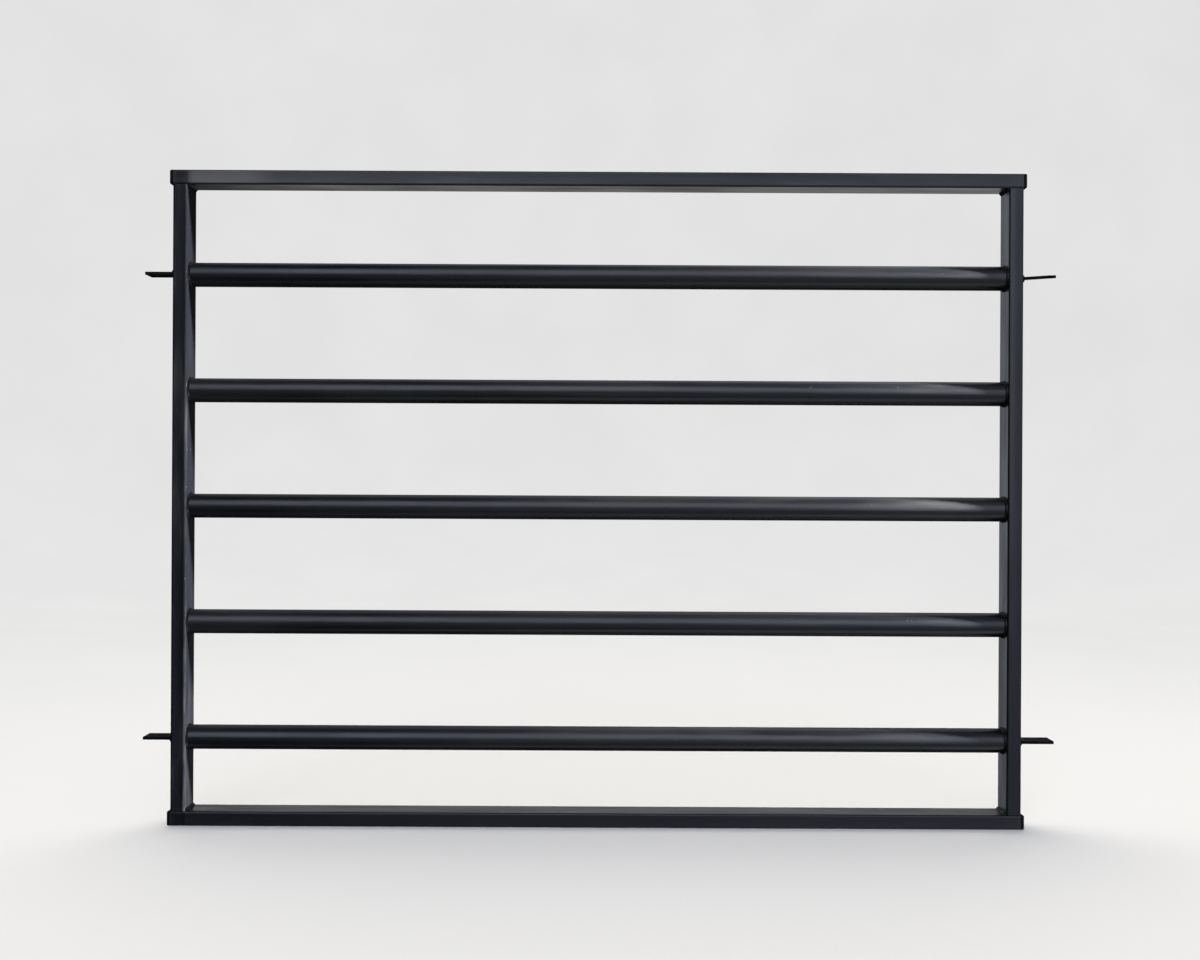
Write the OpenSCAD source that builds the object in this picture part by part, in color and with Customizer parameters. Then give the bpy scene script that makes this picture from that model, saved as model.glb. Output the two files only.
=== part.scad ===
// Window security bar: a welded steel grille that is set into a window opening. Two rails run the full
// width, two stiles stand between them, round bars cross between the stiles, plastic caps close the
// rails and flat lugs outside the stiles are bedded in the jambs. It has no moving part.
// +X runs along the rails, +Y from the street side to the window side, +Z up. The origin is the centre
// of the welded frame.

/* [Frame] */
// Width of the frame over its stiles, without the caps
frame_w = 875; // [500:5:1500]
// Height of the frame over its rails
frame_h = 675; // [645:5:1200]
// Depth of the frame tube, front to back
tube_depth = 30; // [28:1:50]
// Face width of the frame tube
tube_face = 15; // [14:1:25]
// Wall thickness of the frame tube
tube_wall = 1.5; // [1:0.1:1.8]
// Outer corner radius of the frame tube
tube_r = 2; // [2:0.1:3]

/* [Bars] */
// Number of bars
bar_count = 5; // [1:1:5]
// Outer diameter of a bar
bar_d = 25; // [16:1:25]
// Wall thickness of a bar
bar_wall = 1.5; // [1:0.1:3]
// Distance between the centres of neighbouring bars
bar_pitch = 120; // [60:1:120]
// Distance from the frame's top edge down to the first bar's centre
bar_first = 106; // [60:1:110]

/* [End caps] */
// Thickness of a cap's flange outside the rail's end
cap_flange = 3.5; // [2.5:0.5:6]
// Rounding of the flange's outer edges
cap_edge_r = 1.5; // [0.5:0.1:2]
// Length of the plug inside the rail
cap_plug_l = 14; // [12:1:25]
// Wall thickness of the hollow plug
cap_plug_wall = 1.2; // [1:0.1:1.5]
// Height of a gripping rib above the plug
cap_rib_h = 0.7; // [0.4:0.1:0.9]
// Thickness of a gripping rib along the plug
cap_rib_t = 1; // [0.6:0.1:1.5]
// Number of gripping ribs on a plug
cap_rib_count = 3; // [1:1:4]

/* [Anchor lugs] */
// Thickness of the flat bar that the lugs are cut from
lug_t = 3; // [2:0.5:5]
// Width of that flat bar, front to back
lug_depth = 20; // [12:1:26]
// Length of the left lugs outside the stile
lug_left_l = 30; // [20:1:60]
// Length of the right lugs outside the stile
lug_right_l = 35; // [20:1:60]
// Upward bend of the top right lug, in degrees
lug_bend = 4; // [0:1:10]
// Twist of the top right lug along its length, back edge up, in degrees
lug_twist = 9; // [0:1:15]

/* [Welds] */
// Length of a bar-end weld along the bar
ring_leg = 2.5; // [1.5:0.1:4]
// Height of a bar-end weld out from the bar
ring_h = 1.3; // [1:0.1:1.5]
// Leg of the fillet weld in an inner corner of the frame
corner_leg = 3; // [2:0.1:5]
// Leg of the beads above and below a lug's root
lug_bead = 4; // [1.5:0.1:5]

/* [Hidden] */
$fn = 64;
// Gap between a cap's ribs and the inside of the tube
rib_gap = 0.05;
// How far a cutting shape runs past the faces it cuts
past = 1;
// Height of a weld's face at its middle, as a share of the corner that its legs span
weld_fullness = 0.6;

half_w = frame_w / 2;
half_h = frame_h / 2;
opening_w = frame_w - 2 * tube_face;
stile_l = frame_h - 2 * tube_face;
stile_x = half_w - tube_face / 2;
rail_z = half_h - tube_face / 2;
inner_w = tube_face - 2 * tube_wall;
inner_depth = tube_depth - 2 * tube_wall;
inner_r = tube_r - tube_wall;
flat_depth = tube_depth - 2 * tube_r;
bar_r = bar_d / 2;
plug_depth = inner_depth - 2 * rib_gap - 2 * cap_rib_h;
plug_w = inner_w - 2 * rib_gap - 2 * cap_rib_h;
rib_pitch = (cap_plug_l - cap_rib_t) / cap_rib_count;

// Height of bar number i's centre, counted from 1 at the top
function bar_z(i) = half_h - bar_first - (i - 1) * bar_pitch;
// The top lugs are level with the first bar and the bottom lugs with the last
function lug_z(level) = bar_z(level > 0 ? 1 : bar_count);
// Only the top right lug is bent and twisted
function lug_angle(level, side) = level > 0 && side > 0 ? lug_bend : 0;
function lug_turn(level, side) = level > 0 && side > 0 ? lug_twist : 0;
// Half the height of a lug where it meets the stile
function lug_root(bend) = lug_t / 2 / cos(bend);

steel = [0.16, 0.17, 0.19];
weld_steel = [0.20, 0.21, 0.23];
cap_black = [0.05, 0.05, 0.05];

// Side names and their direction along X, level names and their direction along Z
SIDES = [["left", -1], ["right", 1]];
LEVELS = [["top", 1], ["bottom", -1]];

// ---- Outlines ----

// Rectangle with round corners, centred
module round_rect(w, h, r) {
    square([w - 2 * r, h], center = true);
    square([w, h - 2 * r], center = true);
    for (x = [-1, 1], y = [-1, 1])
        translate([x * (w / 2 - r), y * (h / 2 - r)])
            circle(r = r);
}

// Section of the frame tube, with its depth along the first axis
module tube_outline() {
    difference() {
        round_rect(tube_depth, tube_face, tube_r);
        round_rect(inner_depth, inner_w, inner_r);
    }
}

// Slab of thickness t and width w whose two far corners are round
module domed_outline(t, w, r) {
    translate([0, -w / 2])
        square([t - r, w]);
    translate([0, r - w / 2])
        square([t, w - 2 * r]);
    for (y = [-1, 1])
        translate([t - r, y * (w / 2 - r)])
            circle(r = r);
}

// Fillet weld seen end on: its legs are the vectors a and b from the root, and its face is slightly full
module fillet_outline(a, b) {
    polygon([[0, 0], a, (a + b) * weld_fullness, b]);
}

// ---- Placing ----

// Turns an outline drawn in (depth, height) so that it runs along X
module along_x(l, centred = true) {
    rotate([90, 0, 90])
        linear_extrude(l, center = centred)
            children();
}

// Turns an outline drawn in (X, Z) so that it runs along Y, centred on the frame's depth
module along_y(l) {
    rotate([90, 0, 0])
        linear_extrude(l, center = true)
            children();
}

// Mirrors its children to the side given by -1 or 1
module to_side(side) {
    mirror([side < 0 ? 1 : 0, 0, 0])
        children();
}

// Mirrors its children to the level given by -1 or 1
module to_level(level) {
    mirror([0, 0, level < 0 ? 1 : 0])
        children();
}

// ---- Frame and bars ----

module rail(level) {
    color(steel)
        translate([0, 0, level * rail_z])
            along_x(frame_w)
                tube_outline();
}

module stile(side) {
    color(steel)
        translate([side * stile_x, 0, 0])
            linear_extrude(stile_l, center = true)
                rotate(90)
                    tube_outline();
}

module bar(i) {
    color(steel)
        translate([0, 0, bar_z(i)])
            along_x(opening_w)
                difference() {
                    circle(r = bar_r);
                    circle(r = bar_r - bar_wall);
                }
}

// ---- End caps ----

// Flange outside the rail's end, with round outer edges all round
module cap_flange_body() {
    intersection() {
        along_x(cap_flange, centred = false)
            round_rect(tube_depth, tube_face, tube_r);
        linear_extrude(tube_face + past, center = true)
            domed_outline(cap_flange, tube_depth, cap_edge_r);
        along_y(tube_depth + past)
            domed_outline(cap_flange, tube_face, cap_edge_r);
    }
}

// Hollow plug inside the rail, open at its inner end, with gripping ribs round it
module cap_plug_body() {
    translate([-cap_plug_l, 0, 0])
        difference() {
            union() {
                along_x(cap_plug_l, centred = false)
                    round_rect(plug_depth, plug_w, inner_r);
                for (k = [0:cap_rib_count - 1])
                    translate([k * rib_pitch, 0, 0])
                        along_x(cap_rib_t, centred = false)
                            round_rect(inner_depth - 2 * rib_gap, inner_w - 2 * rib_gap, inner_r);
            }
            translate([-past, 0, 0])
                along_x(cap_plug_l + past, centred = false)
                    square([plug_depth - 2 * cap_plug_wall, plug_w - 2 * cap_plug_wall], center = true);
        }
}

module cap(level, side) {
    color(cap_black)
        to_side(side)
            translate([half_w, 0, level * rail_z]) {
                cap_flange_body();
                cap_plug_body();
            }
}

// ---- Anchor lugs ----

// Runs an outline drawn in (X, Z) from a lug's root along the lug's depth, twisted with the lug
module at_lug(level, side) {
    to_side(side)
        translate([half_w, 0, lug_z(level)])
            rotate([lug_turn(level, side), 0, 0])
                along_y(lug_depth)
                    children();
}

// Flat strip from the stile's outer face outwards, bent up at its root
module lug(level, side) {
    l = side < 0 ? lug_left_l : lug_right_l;
    bend = lug_angle(level, side);
    half_t = [-sin(bend), cos(bend)] * lug_t / 2;
    tip = [cos(bend), sin(bend)] * l;
    root = [0, lug_root(bend)];
    color(steel)
        at_lug(level, side)
            polygon([-root, tip - half_t, tip + half_t, root]);
}

// ---- Welds ----

// Ring weld round the end of a bar, on the stile's inner face
module bar_weld(i, side) {
    color(weld_steel)
        to_side(side)
            translate([half_w - tube_face, 0, bar_z(i)])
                rotate([0, -90, 0])
                    rotate_extrude()
                        translate([bar_r, 0])
                            fillet_outline([ring_h, 0], [0, ring_leg]);
}

// Fillet weld along an inner corner of the frame, over the flat part of the tubes
module corner_weld(level, side) {
    color(weld_steel)
        to_side(side)
            to_level(level)
                translate([half_w - tube_face, 0, half_h - tube_face])
                    along_y(flat_depth)
                        fillet_outline([-corner_leg, 0], [0, -corner_leg]);
}

// Beads above and below a lug's root, on the stile's outer face
module lug_weld(level, side) {
    bend = lug_angle(level, side);
    color(weld_steel)
        at_lug(level, side)
            for (m = [-1, 1])
                translate([0, m * lug_root(bend)])
                    fillet_outline([cos(bend), sin(bend)] * lug_bead, [0, m * lug_bead]);
}

rail(1);  // top_rail
rail(-1);  // bottom_rail
stile(-1);  // left_stile
stile(1);  // right_stile
for (i = [1:bar_count]) {
    bar(i);
}
for (v = LEVELS, s = SIDES) {
    cap(v[1], s[1]);
    lug(v[1], s[1]);
    corner_weld(v[1], s[1]);
    lug_weld(v[1], s[1]);
}
for (i = [1:bar_count], s = SIDES) {
    bar_weld(i, s[1]);
}
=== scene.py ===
"""Window security bar: the painted steel grille, its plastic caps and its welds, built round the fixed frame.

Every length is in metres. +X runs along the rails, +Y from the street side to the window side, +Z up, and
the origin is the centre of the welded frame. Each class below is one kind of piece: it takes its size from
the frame node that it stands for, works its surface out with numpy and dresses it in its finish.
"""

import logging
import math
from dataclasses import dataclass, field
from enum import Enum

import bpy
import numpy as np
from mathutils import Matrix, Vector

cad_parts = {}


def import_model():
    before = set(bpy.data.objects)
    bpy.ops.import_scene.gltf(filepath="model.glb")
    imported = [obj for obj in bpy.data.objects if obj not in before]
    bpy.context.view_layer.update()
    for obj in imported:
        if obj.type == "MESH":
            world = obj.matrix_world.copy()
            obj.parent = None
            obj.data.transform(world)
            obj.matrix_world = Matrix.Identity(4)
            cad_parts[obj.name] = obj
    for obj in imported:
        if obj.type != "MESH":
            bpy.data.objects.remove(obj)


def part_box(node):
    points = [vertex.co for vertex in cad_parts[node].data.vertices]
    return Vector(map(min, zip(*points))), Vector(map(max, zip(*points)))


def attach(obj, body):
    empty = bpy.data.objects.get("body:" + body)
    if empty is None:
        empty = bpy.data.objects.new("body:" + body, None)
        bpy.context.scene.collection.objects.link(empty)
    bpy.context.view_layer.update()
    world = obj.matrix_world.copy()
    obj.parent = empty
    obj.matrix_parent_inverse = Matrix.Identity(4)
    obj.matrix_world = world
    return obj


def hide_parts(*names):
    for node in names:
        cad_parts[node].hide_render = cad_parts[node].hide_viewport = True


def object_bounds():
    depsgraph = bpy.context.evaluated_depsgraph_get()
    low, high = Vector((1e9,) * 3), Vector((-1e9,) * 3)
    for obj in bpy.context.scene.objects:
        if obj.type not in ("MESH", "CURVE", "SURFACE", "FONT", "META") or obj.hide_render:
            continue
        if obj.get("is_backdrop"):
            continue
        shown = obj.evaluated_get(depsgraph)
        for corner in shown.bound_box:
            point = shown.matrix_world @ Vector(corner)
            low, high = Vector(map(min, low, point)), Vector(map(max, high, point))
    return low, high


MM = 0.001
BODY = "root"
SHARP_ANGLE = math.radians(38.0)
BAR_NUMBERS = range(1, 6)

Span = tuple[float, float]
Triple = tuple[float, float, float]
Tone = tuple[float, float, float, float]
Socket = bpy.types.NodeSocket

log = logging.getLogger("window_bar")


class Side(Enum):
    """Which way along X a piece lies."""

    LEFT = -1
    RIGHT = 1

    @property
    def word(self) -> str:
        """The side's name as the frame nodes spell it."""
        return self.name.lower()


class Level(Enum):
    """Which way along Z a piece lies."""

    TOP = 1
    BOTTOM = -1

    @property
    def word(self) -> str:
        """The level's name as the frame nodes spell it."""
        return self.name.lower()


class Slot(Enum):
    """The record's material slots."""

    FRAME = "frame_steel"
    BAR = "bar_steel"
    LUG = "lug_steel"
    WELD = "weld_steel"
    CAP = "cap_plastic"


# ---- Surfaces ----


def smooth_step(value: np.ndarray, low: float, high: float) -> np.ndarray:
    """Rises from 0 at low to 1 at high along the cubic 3 s^2 - 2 s^3 of the share s of the way.

    Args:
        value: The numbers to judge.
        low: Where the rise begins.
        high: Where it ends.

    Returns:
        Numbers from 0 to 1, in the shape of value.
    """
    share = np.clip((value - low) / (high - low), 0.0, 1.0)
    return share * share * (3.0 - 2.0 * share)


@dataclass
class Shell:
    """A closed surface: rings of points, each ring a closed loop, one after another.

    With joined set, the last ring meets the first, as on a tube whose surface runs along the outside, round
    the lip and back along the inside. Otherwise each end ring is closed by a fan to its middle point.
    """

    rings: np.ndarray
    joined: bool
    marks: dict[str, np.ndarray] = field(default_factory=dict)

    def points(self) -> np.ndarray:
        """All the points in one list, with the two middle points last on a shell that isn't joined."""
        flat = self.rings.reshape(-1, 3)
        if self.joined:
            return flat
        return np.vstack([flat, self.rings[0].mean(0), self.rings[-1].mean(0)])

    def quads(self) -> np.ndarray:
        """One four-sided face for each step along and round: this point, the next one round, and back on
        the next ring."""
        count, around = self.rings.shape[:2]
        row = np.arange(count if self.joined else count - 1)[:, None]
        col = np.arange(around)[None, :]
        after, beside = (row + 1) % count, (col + 1) % around
        points = [row * around + col, row * around + beside, after * around + beside, after * around + col]
        return np.stack(points, -1).reshape(-1, 4)

    def fans(self) -> np.ndarray:
        """Triangles from each end ring to its middle point, or none on a joined shell."""
        if self.joined:
            return np.zeros((0, 3), int)
        count, around = self.rings.shape[:2]
        col = np.arange(around)
        beside = (col + 1) % around
        first = np.stack([beside, col, np.full(around, count * around)], -1)
        base = (count - 1) * around
        last = np.stack([base + col, base + beside, np.full(around, count * around + 1)], -1)
        return np.vstack([first, last])

    def mark_values(self, name: str) -> np.ndarray:
        """One mark as a list with a value for every point.

        Args:
            name: The mark's name.

        Returns:
            The values, where each middle point takes the mean of its ring.
        """
        values = np.broadcast_to(self.marks[name], self.rings.shape[:2])
        flat = values.reshape(-1)
        if self.joined:
            return flat
        return np.concatenate([flat, [values[0].mean(), values[-1].mean()]])

    def faces(self) -> tuple[np.ndarray, np.ndarray]:
        """Its four-sided faces and its triangles, turned outwards.

        They face inwards when the volume that they enclose is negative: the sum over all triangles of
        first . (second x third) / 6.

        Returns:
            The quads and the fans, as rows of point numbers.
        """
        points, quads, fans = self.points(), self.quads(), self.fans()
        triangles = np.vstack([quads[:, [0, 1, 2]], quads[:, [0, 2, 3]], fans])
        first, second, third = (points[triangles[:, place]] for place in range(3))
        if np.einsum("ij,ij->i", first, np.cross(second, third)).sum() < 0:
            return quads[:, ::-1], fans[:, ::-1]
        return quads, fans


def ring_points(x: np.ndarray, y: np.ndarray, z: np.ndarray) -> np.ndarray:
    """Points from their three coordinates, each given as (ring, point) or as a row or column that spreads."""
    return np.stack(np.broadcast_arrays(x, y, z), -1)


def mesh_of(name: str, shells: list[Shell]) -> bpy.types.Mesh:
    """Makes one mesh of one or more shells, each of them closed.

    Args:
        name: The mesh's name.
        shells: The shells, all with the same marks.

    Returns:
        A smooth-shaded mesh with sharp edges marked and the marks as point attributes.
    """
    points = [shell.points() for shell in shells]
    starts = np.cumsum([0] + [len(part) for part in points[:-1]])
    faces = [shell.faces() for shell in shells]
    quads = np.vstack([part[0] + start for part, start in zip(faces, starts)])
    fans = np.vstack([part[1] + start for part, start in zip(faces, starts)])
    mesh = bpy.data.meshes.new(name)
    mesh.vertices.add(sum(len(part) for part in points))
    mesh.vertices.foreach_set("co", np.vstack(points).astype(np.float32).ravel())
    loops = np.concatenate([quads.ravel(), fans.ravel()]).astype(np.int32)
    loop_starts = np.concatenate([np.arange(len(quads)) * 4, quads.size + np.arange(len(fans)) * 3])
    mesh.loops.add(len(loops))
    mesh.loops.foreach_set("vertex_index", loops)
    mesh.polygons.add(len(loop_starts))
    mesh.polygons.foreach_set("loop_start", loop_starts.astype(np.int32))
    mesh.update(calc_edges=True)
    mesh.validate()
    mesh.shade_smooth()
    mesh.set_sharp_from_angle(angle=SHARP_ANGLE)
    for mark in shells[0].marks:
        layer = mesh.attributes.new(mark, "FLOAT", "POINT")
        values = np.concatenate([shell.mark_values(mark) for shell in shells])
        layer.data.foreach_set("value", values.astype(np.float32))
    return mesh


@dataclass(frozen=True)
class Outline:
    """A closed section whose every point is anchor * (half size - radius) + reach * radius.

    anchor holds the signs of the corner that a point belongs to, or a share of them along a flat, and reach
    is the direction out from that corner's centre. The same points then fit any size and rounding.
    """

    anchor: np.ndarray
    reach: np.ndarray

    @classmethod
    def rounded(cls, steps: int, flat: tuple[float, ...]) -> "Outline":
        """A rectangle with round corners.

        Args:
            steps: Steps round each quarter-circle corner.
            flat: Shares of the way along each flat at which it has a point.

        Returns:
            The outline, walked anticlockwise from the first corner.
        """
        turn = np.linspace(0.0, math.pi / 2, steps + 1)
        share = np.array(flat)[:, None]
        signs = np.array([(1, 1), (-1, 1), (-1, -1), (1, -1)], float)
        anchors, reaches = [], []
        for quarter, sign in enumerate(signs):
            angle = turn + quarter * math.pi / 2
            anchors.append(np.tile(sign, (len(turn), 1)))
            reaches.append(np.stack([np.cos(angle), np.sin(angle)], -1))
            anchors.append(sign * (1 - share) + signs[(quarter + 1) % 4] * share)
            reaches.append(np.tile(reaches[-1][-1], (len(share), 1)))
        return cls(np.vstack(anchors), np.vstack(reaches))

    @classmethod
    def circle(cls, steps: int) -> "Outline":
        """A circle of that many points, which has no anchor."""
        angle = np.arange(steps) * 2 * math.pi / steps
        return cls(np.zeros((steps, 2)), np.stack([np.cos(angle), np.sin(angle)], -1))

    def at(self, half: np.ndarray, radius: np.ndarray) -> np.ndarray:
        """The outline at several sizes.

        Args:
            half: Half sizes, one row of two for each ring.
            radius: The corner radius of each ring.

        Returns:
            Points as (ring, point, 2).
        """
        radius = np.asarray(radius, float)[:, None, None]
        return self.anchor * (np.asarray(half, float)[:, None, :] - radius) + self.reach * radius

    def roundness(self) -> np.ndarray:
        """1 on the round corners and 0 along the flats, fading over the seventh of a flat next to each."""
        return smooth_step(np.abs(self.anchor).min(1), 0.72, 1.0)

    def hollow(self) -> np.ndarray:
        """1 at the middle of each flat and 0 at its ends: 1 less the square of the share of the way out."""
        return 1.0 - np.abs(self.anchor).min(1) ** 2


def lip_path(length: float, wall: float, chamfer: float, step: float) -> tuple[np.ndarray, np.ndarray]:
    """The way round a tube's wall: along the outside, over one cut end, back inside and over the other.

    Args:
        length: The tube's length, centred on 0.
        wall: Its wall.
        chamfer: The filed edge at each cut end.
        step: The spacing of the rings along the outside.

    Returns:
        Where each ring lies along the tube, and how far it is set in from the outside.
    """
    half = length / 2
    outside = np.linspace(-half + chamfer, half - chamfer, int(round(length / step)) + 1)
    inside = np.linspace(half - chamfer, -half + chamfer, 9)
    place = np.concatenate([[-half], outside, [half, half], inside, [-half]])
    cut = [chamfer, wall - chamfer]
    inset = np.concatenate([cut[:1], np.zeros(len(outside)), cut, np.full(len(inside), wall), cut[1:]])
    return place, inset


# ---- Shader graphs ----


class Graph:
    """A short way to write a shader's node graph."""

    def __init__(self, tree: bpy.types.NodeTree) -> None:
        """Empties the tree and keeps it.

        Args:
            tree: The node tree to write.
        """
        self.tree = tree
        tree.nodes.clear()

    def add(self, kind: str, inputs: dict | None = None, **settings: object) -> bpy.types.Node:
        """Adds a node.

        Args:
            kind: The node's type, without its leading ShaderNode.
            inputs: Values or output sockets for its inputs, by name or number.
            settings: Its own properties.

        Returns:
            The node.
        """
        node = self.tree.nodes.new("ShaderNode" + kind)
        for key, value in settings.items():
            setattr(node, key, value)
        for key, value in (inputs or {}).items():
            if isinstance(value, Socket):
                self.tree.links.new(value, node.inputs[key])
            else:
                node.inputs[key].default_value = value
        return node

    def noise(self, place: Socket, scale: float, detail: float = 2.0) -> Socket:
        """Cloudy noise from 0 to 1 over a place, at a scale in cells per metre."""
        inputs = {"Vector": place, "Scale": scale, "Detail": detail, "Roughness": 0.55}
        return self.add("TexNoise", inputs).outputs["Fac"]

    def stretched(self, place: Socket, stretch: Triple) -> Socket:
        """The place with each axis scaled, to draw a pattern out along one of them."""
        return self.add("Mapping", {"Vector": place, "Scale": stretch}).outputs["Vector"]

    def ramp(self, value: Socket, span: Span, out: Span) -> Socket:
        """The value carried smoothly from one span to another."""
        inputs = dict(zip(("From Min", "From Max", "To Min", "To Max"), (*span, *out)), Value=value)
        return self.add("MapRange", inputs, interpolation_type="SMOOTHSTEP").outputs["Result"]

    def math(self, operation: str, first: object, second: object) -> Socket:
        """One sum on two numbers or sockets."""
        return self.add("Math", {0: first, 1: second}, operation=operation).outputs[0]

    def mix(self, share: object, below: object, above: object) -> Socket:
        """One colour laid over another by a share."""
        node = self.add("Mix", data_type="RGBA")
        for name, kind, value in (("Factor", "VALUE", share), ("A", "RGBA", below), ("B", "RGBA", above)):
            socket = next(each for each in node.inputs if (each.name, each.type) == (name, kind))
            if isinstance(value, Socket):
                self.tree.links.new(value, socket)
            else:
                socket.default_value = value
        return next(each for each in node.outputs if each.type == "RGBA")

    def mark(self, name: str) -> Socket:
        """A mark that the piece's mesh carries, as a number."""
        return self.add("Attribute", attribute_name=name, attribute_type="GEOMETRY").outputs["Fac"]

    def bump(self, height: Socket, depth: float, strength: float, under: object = None) -> Socket:
        """Relief of that depth in metres, over any relief already under it."""
        inputs = {"Height": height, "Distance": depth, "Strength": strength}
        if under is not None:
            inputs["Normal"] = under
        return self.add("Bump", inputs).outputs["Normal"]

    def surface(self, base: Socket, rough: Socket, relief: Socket, gloss: float) -> None:
        """Ends the graph in a surface.

        Args:
            base: Its colour.
            rough: Its roughness.
            relief: Its bump.
            gloss: Its specular level, which is the same all over.
        """
        inputs = {"Base Color": base, "Roughness": rough, "Normal": relief, "Specular IOR Level": gloss}
        shader = self.add("BsdfPrincipled", inputs)
        self.add("OutputMaterial", {"Surface": shader.outputs[0]})


def new_finish(name: str) -> tuple[bpy.types.Material, Graph, Socket]:
    """Starts a material.

    Args:
        name: The material's name.

    Returns:
        The material, its empty graph, and the place in the piece's own coordinates.
    """
    material = bpy.data.materials.new(name)
    material.use_nodes = True
    graph = Graph(material.node_tree)
    return material, graph, graph.add("TexCoord").outputs["Object"]


def tone(red: float, green: float, blue: float) -> Tone:
    """A full colour from its three linear parts."""
    return (red, green, blue, 1.0)


@dataclass(frozen=True)
class Paint:
    """Satin black coat on steel: a dark blue-grey film with orange peel, streaks, dust and a pale painted
    highlight.
    """

    name: str
    colour: Tone = tone(0.0042, 0.0045, 0.0058)
    faded: Tone = tone(0.0062, 0.0065, 0.0080)
    dusty: Tone = tone(0.0185, 0.0180, 0.0182)
    rubbed: Tone = tone(0.030, 0.031, 0.034)
    # The colour of the painted highlight on the top rail's left end and the right stile's upper left.
    pale: Tone = tone(0.142, 0.128, 0.120)
    roughness: Span = (0.26, 0.38)
    gloss: float = 0.5
    stretch: Triple = (1.0, 1.0, 1.0)
    dust: float = 0.7
    edge_wear: float = 0.35

    def make(self) -> bpy.types.Material:
        """Builds the material.

        Returns:
            A material whose colour clouds between two tones under patches of dust and a pale painted
            highlight, whose rubbed edges and nibs are paler, and whose roughness and relief follow the same
            noises.
        """
        material, graph, place = new_finish(self.name)
        drawn = graph.stretched(place, self.stretch)
        cloud = graph.noise(drawn, 14.0, 4.0)
        streak = graph.noise(drawn, 70.0, 4.0)
        film = graph.noise(drawn, 120.0, 3.0)
        settled = graph.noise(drawn, 30.0, 5.0)
        peel = graph.noise(place, 620.0, 2.0)
        nibs = graph.noise(place, 210.0, 1.0)
        base = graph.mix(graph.ramp(cloud, (0.38, 0.68), (0.0, 1.0)), self.colour, self.faded)
        base = graph.mix(graph.ramp(settled, (0.50, 0.66), (0.0, self.dust)), base, self.dusty)
        # Painted highlight: the pale tone laid on where the piece's mark says.
        base = graph.mix(graph.mark("painted_highlight"), base, self.pale)
        wear = graph.ramp(film, (0.45, 0.72), (0.0, self.edge_wear))
        base = graph.mix(graph.math("MULTIPLY", graph.mark("edge"), wear), base, self.rubbed)
        speck = graph.ramp(nibs, (0.74, 0.80), (0.0, 0.55))
        base = graph.mix(speck, base, self.rubbed)
        rough = graph.ramp(cloud, (0.3, 0.7), self.roughness)
        rough = graph.math("ADD", rough, graph.ramp(streak, (0.3, 0.7), (-0.06, 0.08)))
        relief = graph.bump(film, 0.00035, 0.10, graph.bump(streak, 0.0008, 0.45))
        relief = graph.bump(peel, 0.00012, 0.16, relief)
        relief = graph.bump(speck, 0.00010, 0.35, relief)
        graph.surface(base, rough, relief, self.gloss)
        return material


@dataclass(frozen=True)
class WeldPaint:
    """Thick paint over a weld, with painted shade in the valleys between the ripples and a painted glint
    where marked.
    """

    name: str
    colour: Tone = tone(0.0030, 0.0032, 0.0040)
    # The lighter tone painted on the ripples' crests, so the valleys read as painted shade.
    painted_crest_light: Tone = tone(0.0090, 0.0093, 0.0108)
    # The pale colour of the painted glint on the left welds' lower front.
    painted_glint: Tone = tone(0.115, 0.122, 0.105)
    roughness: Span = (0.26, 0.46)
    gloss: float = 0.35

    def make(self) -> bpy.types.Material:
        """Builds the material.

        Returns:
            A material that reads the marks for the ripples' painted light and shade and for the painted
            glint, and adds slag specks and fine relief.
        """
        material, graph, place = new_finish(self.name)
        grit = graph.noise(place, 900.0, 3.0)
        lump = graph.noise(place, 260.0, 2.0)
        # Painted glint where marked, broken up by noise.
        worn = graph.math("MULTIPLY", graph.mark("painted_glint"), graph.ramp(lump, (0.35, 0.6), (0.35, 1.0)))
        # Painted shade in the ripples' valleys and painted light on their crests, with the painted glint over
        # both.
        base = graph.mix(worn, graph.mix(graph.mark("painted_crest_light"), self.colour, self.painted_crest_light), self.painted_glint)
        rough = graph.ramp(lump, (0.3, 0.7), self.roughness)
        relief = graph.bump(grit, 0.00018, 0.30, graph.bump(lump, 0.0004, 0.30))
        graph.surface(base, rough, relief, self.gloss)
        return material


@dataclass(frozen=True)
class MouldedPlastic:
    """Black moulded plastic with a fine spark-eroded grain, scuffed paler on its rounded edges."""

    name: str
    colour: Tone = tone(0.0055, 0.0057, 0.0062)
    scuffed: Tone = tone(0.022, 0.022, 0.024)
    roughness: Span = (0.42, 0.58)
    gloss: float = 0.10

    def make(self) -> bpy.types.Material:
        """Builds the material.

        Returns:
            A material whose grain is relief, with faint flow marks and scuffs on the edge mark.
        """
        material, graph, place = new_finish(self.name)
        grain = graph.noise(place, 1500.0, 2.0)
        flow = graph.noise(graph.stretched(place, (1.0, 0.35, 1.0)), 180.0, 3.0)
        scuff = graph.math("MULTIPLY", graph.mark("edge"), graph.ramp(flow, (0.45, 0.7), (0.0, 0.6)))
        base = graph.mix(scuff, self.colour, self.scuffed)
        rough = graph.ramp(flow, (0.3, 0.7), self.roughness)
        relief = graph.bump(grain, 0.00008, 0.35, graph.bump(flow, 0.0002, 0.08))
        graph.surface(base, rough, relief, self.gloss)
        return material


# ---- Pieces ----


ALONG_X: Triple = (0.16, 1.0, 1.0)
ALONG_Z: Triple = (1.0, 1.0, 0.16)
JOINT_Z: Triple = (1.0, 1.0, 0.3)
BAR_X: Triple = (0.12, 1.0, 1.0)


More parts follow.
